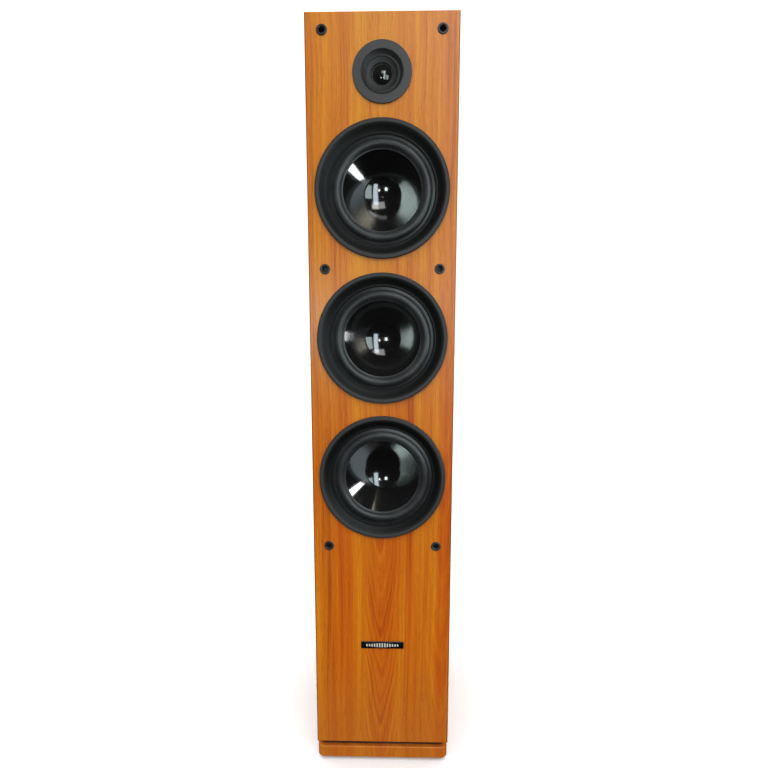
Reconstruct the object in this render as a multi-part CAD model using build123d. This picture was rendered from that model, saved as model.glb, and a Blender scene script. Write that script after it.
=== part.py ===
from build123d import *
from math import cos, pi, radians, sin
import os

# Floorstanding loudspeaker: a tweeter over three woofers in a tall cabinet, on a plinth with feet.
# Sizes are millimetres. +Z is up, the front baffle faces -Y, and the origin is the middle of the
# overall footprint, on the floor. Drivers are drawn about the Y axis as (radius, depth) outlines,
# where depth counts from the baffle's front face into the cabinet.

# ---------------------------------------------------------------- cabinet
cabinet_width = 210.0
cabinet_depth = 290.0
cabinet_height = 1085.0
panel = 15.0
baffle_thickness = 20.0
edge_radius = 1.6

# ---------------------------------------------------------------- base
foot_height = 6.0
foot_radius = 17.0
foot_chamfer = 1.2
foot_from_side = 25.0
foot_from_end = 30.0
plinth_thickness = 18.0
plinth_corner = 10.0
plinth_inset = 0.5
riser_height = 9.0
riser_inset = 7.0
riser_corner = 4.0
base_screw_radius = 2.25
base_screw_bite = 11.0
base_screw_head_radius = 4.5
base_screw_head_height = 3.0
base_slot_span = 1.2
base_screw_recess = 1.0

# ---------------------------------------------------------------- layout on the baffle
tweeter_from_top = 76.7
first_woofer_from_top = 229.5
woofer_pitch = 207.3
cups_from_top = (23.0, 337.7, 751.8)
cup_from_side = 23.5
badge_share = 0.490337  # of the plain board under the lowest trim ring
badge_width = 66.5
badge_height = 11.5
badge_thickness = 1.5
badge_corner = 1.0
badge_bevel = 0.4

# ---------------------------------------------------------------- woofer, radii and widths from the axis out
coil_radius = 17.5
former_wall = 0.5
winding_wall = 0.9
cap_radius = 26.8
cap_rim_width = 1.2
cap_rim_bevel = 0.4
cone_radius = 55.3
landing_width = 2.2
roll_width = 12.9
surround_flange = 5.6
screw_margin = 7.5
screw_shift = 0.25
rebate_gap = 1.0
trim_overlap = 9.7
trim_crest = 5.4
trim_lip = 1.5
trim_lip_bevel = 0.7
trim_lip_edge = 0.8
spider_radius = 45.0
spider_land = 3.5
spider_neck = 4.0
magnet_radius = 45.0
magnet_bore_margin = 4.0
plate_radius = 40.0
vent_radius = 5.0
coil_outer_gap = 0.8
coil_inner_gap = 0.5

# ---------------------------------------------------------------- woofer, thicknesses and depths
rebate_depth = 9.0
gasket_thickness = 1.5
frame_steel = 1.5
surround_rubber = 1.0
trim_proud = 4.6
trim_dish = 1.3
trim_round = 1.9
cone_wall = 1.3
cone_slope = 0.95
cap_dish = 6.2
cap_wall = 0.8
cap_rim_height = 1.0
spider_behind_neck = 6.0
spider_cloth = 0.35
spider_wave = 1.1
spider_waves = 4
points_per_wave = 12
spider_lift = 1.5
shelf_lip = 3.0
plate_behind_shelf = 9.3
top_plate_thickness = 6.0
magnet_thickness = 18.0
back_plate_thickness = 6.0
motor_bevel = 1.5
winding_length = 14.0
spokes = 6
window_angle = 44.0
window_margin = 5.0
tab_length = 7.0
tab_thickness = 0.8
tab_spacing = 10.0
tab_width = 4.0
tab_beyond_frame = 6.0
strip_thickness = 2.0
strip_height = 18.0
strip_before_shelf = 1.5
strip_edge = 3.0
strip_seat = 2.0

# ---------------------------------------------------------------- tweeter
cover_radius = 40.4
cover_proud = 2.5
cover_round = 0.8
cover_overlap = 1.4
waveguide_radius = 28.75
throat_radius = 15.1
throat_depth = 5.5
faceplate_thickness = 3.0
faceplate_gap = 0.5
tweeter_cutout_radius = 31.5
dome_radius = 13.0
dome_height = 6.0
dome_wall = 0.5
dome_skirt = 0.8
dome_lift = 0.7
tweeter_clamp = 4.0
tweeter_clamp_depth = 1.2
tweeter_flange = 0.9
tweeter_screw_floor = 0.8
tweeter_roll_rise = 1.2
tweeter_roll_wall = 0.4
tweeter_winding = 0.5
tweeter_former = 0.3
tweeter_coil_length = 5.0
tweeter_magnet_radius = 25.0
tweeter_magnet_thickness = 12.0
tweeter_steel = 4.0
tweeter_steel_margin = 3.0
tweeter_outer_gap = 1.2
tweeter_inner_gap = 0.9
tweeter_magnet_bore = 4.0
tweeter_pole_drop = 0.5
tweeter_tab_radius = 28.2
tweeter_tab_width = 3.0
tweeter_strip_width = 4.0
tweeter_strip_height = 16.0
tweeter_strip_thickness = 3.0

# ---------------------------------------------------------------- grille cups and screws
cup_flange_radius = 7.3
cup_flange_height = 1.4
cup_flange_bevel = 0.8
cup_body_radius = 5.5
cup_bore_radius = 4.0
cup_mouth_bevel = 1.0
cup_length = 12.0
cup_floor = 2.0
screw_radius = 1.5
screw_length = 12.0
screw_head_radius = 2.9
screw_head_height = 2.0
screw_head_round = 0.8
drive_slot_span = 1.1
drive_slot_width = 0.8
drive_slot_depth = 0.7

# ---------------------------------------------------------------- rear panel
port_proud = 3.0
port_radius = 34.0
port_wall = 2.0
port_land = 5.0
port_flange_bevel = 1.2
port_length = 120.0
port_flare = 9.0
port_above_base = 300.0
terminal_above_base = 160.0
terminal_width = 84.0
terminal_height = 104.0
terminal_depth = 24.0
terminal_wall = 2.5
terminal_rim = 12.0
terminal_corner = 6.0
tub_corner = 3.0
post_spacing = 19.0
post_radius = 3.0
post_length = 18.0
post_shoulder_radius = 6.0
post_shoulder_height = 3.0
post_tail_radius = 2.5
post_tail_length = 9.0
banana_radius = 2.05
banana_depth = 11.0
wire_hole_radius = 1.25
nut_height = 3.0
nut_radius = 4.6
washer_thickness = 1.0
washer_radius = 5.4
post_cap_radius = 6.6
post_cap_length = 14.0
post_cap_bevel = 1.5
flute_radius = 0.9
flute_count = 16
flute_margin = 2.0

# ---------------------------------------------------------------- inside
brace_border = 28.0
brace_corner = 12.0
pad_width = 160.0
pad_thickness = 20.0
pad_gap = 2.0
board_width = 130.0
board_depth = 100.0
board_thickness = 1.6
standoff_height = 6.0
standoff_radius = 3.5
standoff_inset = 6.0
choke_cheek = 1.5
choke_core = 0.35
capacitor_seat = 0.96
resistor_length = 22.0
resistor_width = 9.0
resistor_height = 9.0
resistor_round = 1.0
choke_places = ((-38, -24, 20, 18), (0, -28, 15, 16), (-40, 24, 15, 14))  # x, y, radius, height
capacitor_places = ((6, 2, 8, 34), (8, 22, 7, 30))  # x, y, radius, length
resistor_places = ((46, 26), (46, 8))  # x, y
lead_radius = 1.5
lead_bend = 14.0
lead_spacing = 6.0
lead_behind_motor = 18.0
lead_drop = 27.0

# ---------------------------------------------------------------- clearances
fit = 0.1
running = 0.1
glue_line = 0.05
solder_gap = 0.2
screw_pilot = 0.1
screw_clearance = 0.6
head_clearance = 0.5

# ---------------------------------------------------------------- places that follow from the sizes
cabinet_bottom = foot_height + plinth_thickness + riser_height
cabinet_top = cabinet_bottom + cabinet_height
rear_proud = max(port_proud, terminal_wall + screw_head_height)
front_face = (trim_proud - cabinet_depth - rear_proud) / 2
rear_face = front_face + cabinet_depth
baffle_back = front_face + baffle_thickness
inner_half_width = cabinet_width / 2 - panel
inner_floor = cabinet_bottom + panel
inner_rear = rear_face - panel

tweeter_z = cabinet_top - tweeter_from_top
woofer_z = [cabinet_top - first_woofer_from_top - n * woofer_pitch for n in range(3)]
woofer_names = ("upper", "middle", "lower")
brace_z = [woofer_z[0] - woofer_pitch / 2, woofer_z[1] - woofer_pitch / 2]

roll_inner = cone_radius + landing_width
roll_outer = roll_inner + roll_width
surround_radius = roll_outer + surround_flange
frame_radius = surround_radius + screw_margin
rebate_radius = frame_radius + rebate_gap
trim_radius = rebate_radius + trim_overlap
cutout_radius = roll_outer + frame_steel + head_clearance
screw_circle = (surround_radius + frame_radius) / 2 + screw_shift

frame_front = rebate_depth - gasket_thickness - frame_steel
surround_front = frame_front - surround_rubber
neck_radius = coil_radius + fit
neck_depth = frame_front + cone_slope * (cone_radius - neck_radius)
spider_depth = neck_depth + spider_behind_neck
shelf_depth = spider_depth + spider_lift
shelf_radius = spider_radius + shelf_lip
top_plate_front = shelf_depth + plate_behind_shelf
magnet_front = top_plate_front + top_plate_thickness
back_plate_front = magnet_front + magnet_thickness
motor_back = back_plate_front + back_plate_thickness
gap_radius = coil_radius + winding_wall + coil_outer_gap
pole_radius = coil_radius - former_wall - coil_inner_gap
tab_x = shelf_radius + frame_steel + tab_beyond_frame
tab_end = shelf_depth + tab_length

tweeter_rebate_radius = cover_radius - cover_overlap
faceplate_radius = tweeter_rebate_radius - faceplate_gap
tweeter_screw_circle = (tweeter_cutout_radius + faceplate_radius) / 2
tweeter_screw_seat = faceplate_thickness - tweeter_screw_floor
tweeter_steel_front = throat_depth + tweeter_clamp
tweeter_steel_radius = tweeter_magnet_radius - tweeter_steel_margin
tweeter_magnet_front = tweeter_steel_front + tweeter_steel
tweeter_back_plate = tweeter_magnet_front + tweeter_magnet_thickness

terminal_z = cabinet_bottom + terminal_above_base
terminal_floor = rear_face + terminal_wall - terminal_depth
tub_half_width = terminal_width / 2 - terminal_rim
tub_half_height = terminal_height / 2 - terminal_rim
post_x = (-post_spacing / 2, post_spacing / 2)
washer_start = post_shoulder_height
cap_start = washer_start + washer_thickness
port_z = cabinet_bottom + port_above_base
port_flange_radius = port_radius + port_flare + port_land
badge_z = cabinet_bottom + badge_share * (woofer_z[-1] - trim_radius - cabinet_bottom)

board_bottom = inner_floor + standoff_height
board_top = board_bottom + board_thickness
board_y = (baffle_back + inner_rear) / 2


# ---------------------------------------------------------------- helpers
def box(x0, x1, y0, y1, z0, z1):
    """A block between opposite corners."""
    return Pos((x0 + x1) / 2, (y0 + y1) / 2, (z0 + z1) / 2) * Box(x1 - x0, y1 - y0, z1 - z0)


def turned(*points, arc=360.0):
    """A body turned about the Y axis from straight-sided (radius, depth) points."""
    return turned_from([Polyline(*points, close=True)], arc)


def turned_from(edges, arc=360.0):
    """A body turned about the Y axis from a closed chain of edges."""
    return revolve(make_face(edges), Axis.Y, arc)


def rod(radius, y0, y1):
    """A cylinder along Y between two depths."""
    return Pos(0, (y0 + y1) / 2, 0) * Rot(90, 0, 0) * Cylinder(radius, y1 - y0)


def tube(outer, inner, y0, y1):
    """A round sleeve along Y between two depths."""
    return turned((inner, y0), (outer, y0), (outer, y1), (inner, y1))


def round_edges(shape, axis_position):
    """The circular edges of a turned body at one depth, smallest radius first."""
    circles = shape.edges().filter_by(GeomType.CIRCLE)
    at_depth = circles.filter_by_position(Axis.Y, axis_position - 0.01, axis_position + 0.01)
    return at_depth.sort_by(lambda edge: edge.radius)


def around(radius, count, start=45.0):
    """(x, z) places spread evenly on a circle."""
    turns = [radians(start + 360.0 * n / count) for n in range(count)]
    return [(radius * cos(turn), radius * sin(turn)) for turn in turns]


def crown_drop(radius, rise, at):
    """How far a spherical crown has fallen from its middle, at a distance from its axis."""
    sphere = (radius**2 + rise**2) / (2 * rise)
    return sphere - (sphere**2 - at**2) ** 0.5


def on_baffle(shape, z, x=0.0):
    """Carries a shape drawn about the Y axis to its place on the baffle."""
    return Pos(x, front_face, z) * shape


def save(name, *solids):
    """Writes one node; several solids share it as separate pieces."""
    shape = solids[0] if len(solids) == 1 else Compound(children=list(solids))
    export_step(shape, f"parts/{name}.step")


# ---------------------------------------------------------------- places of repeated pieces
def driver_screw_places():
    """(x, z, depth of the head's seat) of every screw in the baffle."""
    places = []
    for z in woofer_z:
        places += [(x, z + dz, frame_front) for x, dz in around(screw_circle, 4)]
    places += [(x, tweeter_z + dz, tweeter_screw_seat) for x, dz in around(tweeter_screw_circle, 4)]
    return places


def cup_places():
    cup_x = cabinet_width / 2 - cup_from_side
    return [(side * cup_x, cabinet_top - drop) for drop in cups_from_top for side in (-1, 1)]


def terminal_screw_places():
    dx = (terminal_width - terminal_rim) / 2
    dz = (terminal_height - terminal_rim) / 2
    return [(sx * dx, terminal_z + sz * dz) for sx in (-1, 1) for sz in (-1, 1)]


def foot_places():
    x = cabinet_width / 2 - foot_from_side
    ends = (front_face + foot_from_end, rear_face - foot_from_end)
    return [(side * x, y) for side in (-1, 1) for y in ends]


# ---------------------------------------------------------------- cabinet panels
def front_baffle():
    """Front board, drilled right through for the screws and for the closed grille cups."""
    half = cabinet_width / 2
    board = box(-half, half, front_face, baffle_back, cabinet_bottom, cabinet_top)
    board = fillet(board.faces().sort_by(Axis.Y)[0].edges(), edge_radius)
    through = baffle_thickness + 1
    for z in woofer_z:
        board -= on_baffle(rod(rebate_radius, -1, rebate_depth), z)
        board -= on_baffle(rod(cutout_radius, 0, through), z)
    board -= on_baffle(rod(tweeter_rebate_radius, -1, faceplate_thickness), tweeter_z)
    board -= on_baffle(rod(tweeter_cutout_radius, 0, through), tweeter_z)
    for x, z, seat in driver_screw_places():
        board -= on_baffle(rod(screw_radius + screw_pilot, seat, through), z, x)
    for x, z in cup_places():
        board -= on_baffle(rod(cup_body_radius + fit, -1, through), z, x)
    return board


def side_panel(side):
    inner, outer = sorted((side * inner_half_width, side * cabinet_width / 2))
    return box(inner, outer, baffle_back, rear_face, cabinet_bottom, cabinet_top)


def cross_panel(bottom):
    """A panel between the sides, from the baffle to the rear face."""
    return box(-inner_half_width, inner_half_width, baffle_back, rear_face, bottom, bottom + panel)


def bottom_panel():
    board = cross_panel(cabinet_bottom)
    for x, y in foot_places():
        depth = base_screw_bite + fit
        board -= Pos(x, y, cabinet_bottom + depth / 2) * Cylinder(base_screw_radius + screw_pilot, depth)
    return board


def rear_panel():
    top = cabinet_top - panel
    board = box(-inner_half_width, inner_half_width, inner_rear, rear_face, inner_floor, top)
    board -= Pos(0, rear_face, port_z) * rod(port_radius + port_wall + fit, -panel - 1, 1)
    half_x = tub_half_width + fit
    half_z = tub_half_height + fit
    low, high = terminal_z - half_z, terminal_z + half_z
    board -= box(-half_x, half_x, inner_rear - 1, rear_face + 1, low, high)
    for x, z in terminal_screw_places():
        board -= Pos(x, rear_face, z) * rod(screw_radius + screw_pilot, -screw_length, 1)
    return board


def window_brace(z):
    """Shelf that ties all four walls, cut out in the middle."""
    half = inner_half_width
    shelf = box(-half, half, baffle_back, inner_rear, z - panel / 2, z + panel / 2)
    edge = half - brace_border
    front, rear = baffle_back + brace_border, inner_rear - brace_border
    window = box(-edge, edge, front, rear, z - panel, z + panel)
    return shelf - fillet(window.edges().filter_by(Axis.Z), brace_corner)


def damping_pad():
    """Wadding glued to the rear wall between the two braces."""
    low = brace_z[1] + panel / 2 + pad_gap
    high = brace_z[0] - panel / 2 - pad_gap
    pad = box(-pad_width / 2, pad_width / 2, inner_rear - pad_thickness, inner_rear, low, high)
    return fillet(pad.edges().filter_by(Axis.Y), brace_corner)


# ---------------------------------------------------------------- base
def base_block(inset, bottom, height, corner):
    """A rounded slab under the cabinet, drilled for the feet's screws."""
    width = cabinet_width - 2 * inset
    depth = cabinet_depth - 2 * inset
    middle = Pos(0, (front_face + rear_face) / 2, bottom)
    block = extrude(middle * RectangleRounded(width, depth, corner), height)
    for x, y in foot_places():
        block -= Pos(x, y, bottom + height / 2) * Cylinder(base_screw_radius + screw_pilot, height + 2)
    return block


def plinth_riser():
    return base_block(riser_inset, cabinet_bottom - riser_height, riser_height, riser_corner)


def plinth():
    block = base_block(plinth_inset, foot_height, plinth_thickness, plinth_corner)
    top = block.faces().sort_by(Axis.Z)[-1]
    return fillet(top.outer_wire().edges(), edge_radius)


def rubber_foot():
    foot = Pos(0, 0, foot_height / 2) * Cylinder(foot_radius, foot_height)
    foot = chamfer(foot.edges().group_by(Axis.Z)[0], foot_chamfer)
    pocket = base_screw_recess + base_screw_head_height
    foot -= Pos(0, 0, pocket / 2) * Cylinder(base_screw_head_radius + head_clearance, pocket)
    foot -= Pos(0, 0, foot_height / 2) * Cylinder(base_screw_radius + screw_pilot, foot_height + 2)
    return foot


def base_screw():
    """Screw from under the foot, through plinth and riser, into the cabinet's bottom."""
    seat = base_screw_recess + base_screw_head_height
    tip = cabinet_bottom + base_screw_bite
    middle = (base_screw_recess + seat) / 2
    head = Pos(0, 0, middle) * Cylinder(base_screw_head_radius, base_screw_head_height)
    shank = Pos(0, 0, (seat + tip) / 2) * Cylinder(base_screw_radius, tip - seat)
    slot = Pos(0, 0, base_screw_recess) * Box(
        base_screw_head_radius * base_slot_span, drive_slot_width, 2 * drive_slot_depth
    )
    return head + shank - slot - Rot(0, 0, 90) * slot


# ---------------------------------------------------------------- woofer
def trim_ring():
    """Ring over the frame and its screws: rounded crest, then a dished slope in to the surround."""
    crest = trim_radius - trim_crest
    lip = surround_radius - trim_lip
    lip_edge = surround_front - trim_lip_edge
    pocket = surround_front - screw_head_height
    inside = rebate_radius - head_clearance
    slope_start = (crest, -trim_proud)
    slope_end = (lip + trim_lip_bevel, lip_edge)
    slope_middle = ((crest + lip) / 2, (lip_edge - trim_proud) / 2 + trim_dish)
    ring = turned_from(
        [
            Polyline((trim_radius, 0), (trim_radius, -trim_proud), slope_start),
            ThreePointArc(slope_start, slope_middle, slope_end),
            Polyline(
                slope_end,
                (lip, surround_front),
                (surround_radius + fit, surround_front),
                (surround_radius + fit, pocket),
                (inside, pocket),
                (inside, 0),
                (trim_radius, 0),
            ),
        ]
    )
    return fillet(round_edges(ring, -trim_proud), trim_round)


def surround():
    """Half-roll rubber surround: a flange on the frame and a landing on the cone."""
    middle = (roll_inner + roll_outer) / 2
    outer = roll_width / 2
    inner = outer - surround_rubber
    foot = (outer**2 - surround_rubber**2) ** 0.5
    front, back = surround_front, frame_front
    return turned_from(
        [
            Line((surround_radius, front), (middle + foot, front)),
            ThreePointArc((middle + foot, front), (middle, back - outer), (middle - foot, front)),
            Polyline(
                (middle - foot, front),
                (cone_radius, front),
                (cone_radius, back),
                (middle - inner, back),
            ),
            ThreePointArc((middle - inner, back), (middle, back - inner), (middle + inner, back)),
            Polyline((middle + inner, back), (surround_radius, back), (surround_radius, front)),
        ]
    )


def cone_front(radius):
    """Depth of the cone's front surface at a radius."""
    return frame_front + cone_slope * (cone_radius - radius)


def cone():
    """Straight-sided cone with a flat lip under the surround's landing."""
    lip = roll_inner - fit
    return turned(
        (lip, frame_front),
        (cone_radius, frame_front),
        (neck_radius, neck_depth),
        (neck_radius, neck_depth + cone_wall),
        (cone_radius, frame_front + cone_wall),
        (lip, frame_front + cone_wall),
    )


def dust_cap():
    """Dished cap with a thin raised rim that is glued to the cone."""
    dish_radius = cap_radius - cap_rim_width
    rim = cone_front(dish_radius) - cap_rim_height
    foot = cone_front(dish_radius) - glue_line
    floor = rim + cap_dish
    back = floor + cap_wall
    half = dish_radius / 2
    front_half = floor - crown_drop(dish_radius, cap_dish, half)
    back_half = back - crown_drop(dish_radius, back - foot, half)
    return turned_from(
        [
            ThreePointArc((0, floor), (half, front_half), (dish_radius, rim)),
            Polyline(
                (dish_radius, rim),
                (cap_radius - cap_rim_bevel, rim - cap_rim_height),
                (cap_radius, rim - cap_rim_height),
                (cap_radius, cone_front(cap_radius) - glue_line),
                (dish_radius, foot),
            ),
            ThreePointArc((dish_radius, foot), (half, back_half), (0, back)),
            Line((0, back), (0, floor)),
        ]
    )


def voice_coil():
    """Former glued in the cone's neck, with its winding in the magnet gap."""
    end = top_plate_front + (top_plate_thickness + winding_length) / 2
    former = tube(coil_radius, coil_radius - former_wall, neck_depth, end)
    winding = tube(coil_radius + winding_wall, coil_radius, end - winding_length, end)
    return former + winding


def spider():
    """Corrugated suspension between the former and the frame's shelf."""
    first, last = coil_radius + spider_neck, spider_radius - spider_land
    steps = points_per_wave * spider_waves
    line = [(coil_radius + glue_line, spider_depth)]
    for n in range(steps + 1):
        share = n / steps
        wave = spider_wave * sin(2 * pi * spider_waves * share)
        line.append((first + share * (last - first), spider_depth + wave))
    line.append((spider_radius, spider_depth))
    front = [(radius, depth - spider_cloth) for radius, depth in line]
    back = [(radius, depth + spider_cloth) for radius, depth in reversed(line[:-1])]
    foot = [(spider_radius, shelf_depth), (last, shelf_depth)]
    return turned(*front, *foot, *back)


def basket():
    """Pressed steel frame: flange, windowed bowl, spider shelf and motor seat."""
    steel = frame_steel
    shelf_inner = spider_radius - spider_land
    bowl_top = frame_front + 2 * steel
    bowl_end = shelf_depth - 3 * steel
    seat = top_plate_front - steel
    bore = gap_radius + head_clearance
    bowl = turned(
        (frame_radius, frame_front),
        (roll_outer, frame_front),
        (roll_outer, bowl_top),
        (shelf_radius, bowl_end),
        (shelf_radius, shelf_depth),
        (shelf_inner, shelf_depth),
        (shelf_inner, seat),
        (bore, seat),
        (bore, top_plate_front),
        (shelf_inner + steel, top_plate_front),
        (shelf_inner + steel, shelf_depth + steel),
        (shelf_radius + steel, shelf_depth + steel),
        (shelf_radius + steel, bowl_end),
        (roll_outer + steel, bowl_top),
        (roll_outer + steel, frame_front + steel),
        (frame_radius, frame_front + steel),
    )
    window_start = rebate_depth + window_margin
    window_end = bowl_end - window_margin / 2
    window = turned(
        (shelf_radius - window_margin, window_start),
        (roll_outer + window_margin, window_start),
        (roll_outer + window_margin, window_end),
        (shelf_radius - window_margin, window_end),
        arc=window_angle,
    )
    spoke_angle = 360 / spokes - window_angle
    for n in range(spokes):
        bowl -= Rot(0, 360 / spokes * n + spoke_angle / 2, 0) * window
    return drilled_flange(bowl)


def drilled_flange(ring):
    """Clears the four mounting screws out of a frame flange or its gasket."""
    for x, z in around(screw_circle, 4):
        ring -= Pos(x, 0, z) * rod(screw_radius + screw_clearance, frame_front - 1, rebate_depth + 1)
    return ring


def woofer_gasket():
    inner = cutout_radius + fit
    return drilled_flange(tube(frame_radius, inner, rebate_depth - gasket_thickness, rebate_depth))


def woofer_top_plate():
    return tube(plate_radius, gap_radius, top_plate_front, magnet_front)


def woofer_magnet():
    ring = tube(magnet_radius, gap_radius + magnet_bore_margin, magnet_front, back_plate_front)
    rims = [round_edges(ring, magnet_front)[-1], round_edges(ring, back_plate_front)[-1]]
    return chamfer(rims, motor_bevel)


def woofer_yoke():
    """Back plate and vented pole in one forging."""
    return turned(
        (vent_radius, top_plate_front),
        (pole_radius, top_plate_front),
        (pole_radius, back_plate_front),
        (plate_radius, back_plate_front),
        (plate_radius, motor_back - motor_bevel),
        (plate_radius - motor_bevel, motor_back),
        (vent_radius, motor_back),
    )


def woofer_terminals():
    """Fibre strip on the frame's side with two solder tabs that point back."""
    edge = shelf_radius + frame_steel
    end = shelf_depth - strip_before_shelf
    half_tab, half_height = tab_width / 2, strip_height / 2
    outer = tab_x + half_tab + strip_edge
    strip = box(edge - strip_seat, outer, end - strip_thickness, end, -half_height, half_height)
    strip -= rod(edge, 0, motor_back)
    for side in (-1, 1):
        z = side * tab_spacing / 2
        low, high = z - tab_thickness / 2, z + tab_thickness / 2
        strip += box(tab_x - half_tab, tab_x + half_tab, end, tab_end, low, high)
    return strip


# ---------------------------------------------------------------- tweeter
def tweeter_cover():
    """Flat ring that hides the faceplate's screws."""
    ring = tube(cover_radius, waveguide_radius, -cover_proud, 0)
    return fillet(round_edges(ring, -cover_proud), cover_round)


def tweeter_faceplate():
    """Faceplate with a short flared horn down to the dome."""
    span = waveguide_radius - throat_radius
    flare = (span**2 + throat_depth**2) / (2 * throat_depth)
    half = span / 2
    bow = throat_depth - (flare - (flare**2 - half**2) ** 0.5)
    mouth, throat = (waveguide_radius, 0), (throat_radius, throat_depth)
    clamp = throat_radius + tweeter_clamp
    recess = tweeter_steel_front - tweeter_clamp_depth
    plate = turned_from(
        [
            Line((faceplate_radius, 0), mouth),
            ThreePointArc(mouth, (throat_radius + half, bow), throat),
            Polyline(
                throat,
                (throat_radius, recess),
                (clamp, recess),
                (clamp, tweeter_steel_front),
                (tweeter_steel_radius, tweeter_steel_front),
                (tweeter_steel_radius, faceplate_thickness),
                (faceplate_radius, faceplate_thickness),
                (faceplate_radius, 0),
            ),
        ]
    )
    for x, z in around(tweeter_screw_circle, 4):
        plate -= Pos(x, 0, z) * rod(screw_head_radius + fit, -1, tweeter_screw_seat)
        plate -= Pos(x, 0, z) * rod(screw_radius + screw_clearance, 0, faceplate_thickness + 1)
    return plate


def tweeter_dome():
    base = tweeter_steel_front - dome_lift
    apex = base - dome_height
    inside = apex + dome_wall
    rim = dome_radius - dome_wall
    half = dome_radius / 2
    skirt = base + dome_skirt
    outer_middle = (half, apex + crown_drop(dome_radius, dome_height, half))
    inner_middle = (half, inside + crown_drop(rim, base - inside, half))
    return turned_from(
        [
            ThreePointArc((0, apex), outer_middle, (dome_radius, base)),
            Polyline((dome_radius, base), (dome_radius, skirt), (rim, skirt), (rim, base)),
            ThreePointArc((rim, base), inner_middle, (0, inside)),
            Line((0, inside), (0, apex)),
        ]
    )


def tweeter_surround():
    """Small roll between the dome and its clamped flange."""
    seat = tweeter_steel_front
    top = seat - tweeter_flange
    inner = dome_radius + fit
    outer = throat_radius - fit
    middle = (inner + outer) / 2
    lip = tweeter_roll_wall
    edge = throat_radius + tweeter_clamp - fit
    crest = top - tweeter_roll_rise
    return turned_from(
        [
            Line((edge, top), (outer, top)),
            ThreePointArc((outer, top), (middle, crest), (inner, top)),
            Line((inner, top), (inner + lip, top)),
            ThreePointArc((inner + lip, top), (middle, crest + lip), (outer - lip, top)),
            Polyline((outer - lip, top), (outer - lip, seat), (edge, seat), (edge, top)),
        ]
    )


def tweeter_coil():
    start = tweeter_steel_front - dome_lift + dome_skirt
    outer, inner = dome_radius + tweeter_winding, dome_radius - tweeter_former
    return tube(outer, inner, start, start + tweeter_coil_length)


def tweeter_top_plate():
    bore = dome_radius + tweeter_outer_gap
    return tube(tweeter_steel_radius, bore, tweeter_steel_front, tweeter_magnet_front)


def tweeter_magnet():
    bore = dome_radius + tweeter_magnet_bore
    return tube(tweeter_magnet_radius, bore, tweeter_magnet_front, tweeter_back_plate)


def tweeter_yoke():
    pole_front = tweeter_steel_front + tweeter_pole_drop
    pole = dome_radius - tweeter_inner_gap
    back = tweeter_back_plate + tweeter_steel
    return turned(
        (0, pole_front),
        (pole, pole_front),
        (pole, tweeter_back_plate),
        (tweeter_steel_radius, tweeter_back_plate),
        (tweeter_steel_radius, back),
        (0, back),
    )


def tweeter_terminals():
    """Moulded strip behind the faceplate, with two solder tabs beside the magnet."""
    start = faceplate_thickness
    half_width, half_height = tweeter_strip_width / 2, tweeter_strip_height / 2
    half_tab = tweeter_tab_width / 2
    inner, outer = tweeter_tab_radius - half_width, tweeter_tab_radius + half_width
    strip = box(inner, outer, start, start + tweeter_strip_thickness, -half_height, half_height)
    for side in (-1, 1):
        z = side * tab_spacing / 2
        near, far = tweeter_tab_radius - half_tab, tweeter_tab_radius + half_tab
        low, high = z - tab_thickness / 2, z + tab_thickness / 2
        strip += box(near, far, start, tweeter_back_plate, low, high)
    return strip


# ---------------------------------------------------------------- small parts on the baffle
def grille_cup():
    """Push-in socket for one of the grille's pegs."""
    mouth = cup_bore_radius + cup_mouth_bevel
    return turned(
        (cup_bore_radius, cup_length - cup_floor),
        (cup_bore_radius, cup_mouth_bevel - cup_flange_height),
        (mouth, -cup_flange_height),
        (cup_flange_radius - cup_flange_bevel, -cup_flange_height),
        (cup_flange_radius, cup_flange_bevel - cup_flange_height),
        (cup_flange_radius, 0),
        (cup_body_radius, 0),
        (cup_body_radius, cup_length),
        (0, cup_length),
        (0, cup_length - cup_floor),
    )


def name_badge():
    z = badge_z
    half_w, half_h = badge_width / 2, badge_height / 2
    plate = box(-half_w, half_w, front_face - badge_thickness, front_face, z - half_h, z + half_h)
    plate = fillet(plate.edges().filter_by(Axis.Y), badge_corner)
    return chamfer(plate.faces().sort_by(Axis.Y)[0].edges(), badge_bevel)


def wood_screw():
    """Pan-head screw: the head bears at depth 0 and the shank runs along +Y."""
    head = rod(screw_head_radius, -screw_head_height, 0)
    head = fillet(round_edges(head, -screw_head_height), screw_head_round)
    shank = rod(screw_radius, 0, screw_length - screw_radius)
    point = screw_length - screw_radius
    tip = turned((0, point), (screw_radius, point), (0, screw_length))
    slot = Pos(0, -screw_head_height, 0) * Box(
        screw_head_radius * drive_slot_span, 2 * drive_slot_depth, drive_slot_width
    )
    return head + shank + tip - slot - Rot(0, 90, 0) * slot


# ---------------------------------------------------------------- rear parts
def reflex_port():
    """Moulded port: flange on the rear panel, flared mouth and tube."""
    inner, outer = port_radius, port_radius + port_wall
    mouth = (inner + port_flare, port_proud)
    throat = (inner, port_proud - port_flare)
    bend = port_flare * cos(pi / 4)
    shape = turned_from(
        [
            Polyline(
                mouth,
                (port_flange_radius - port_flange_bevel, port_proud),
                (port_flange_radius, port_proud - port_flange_bevel),
                (port_flange_radius, 0),
                (outer, 0),
                (outer, -port_length),
                (inner, -port_length),
                throat,
            ),
            ThreePointArc(throat, (inner + port_flare - bend, port_proud - port_flare + bend), mouth),
        ]
    )
    return Pos(0, rear_face, port_z) * shape


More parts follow.
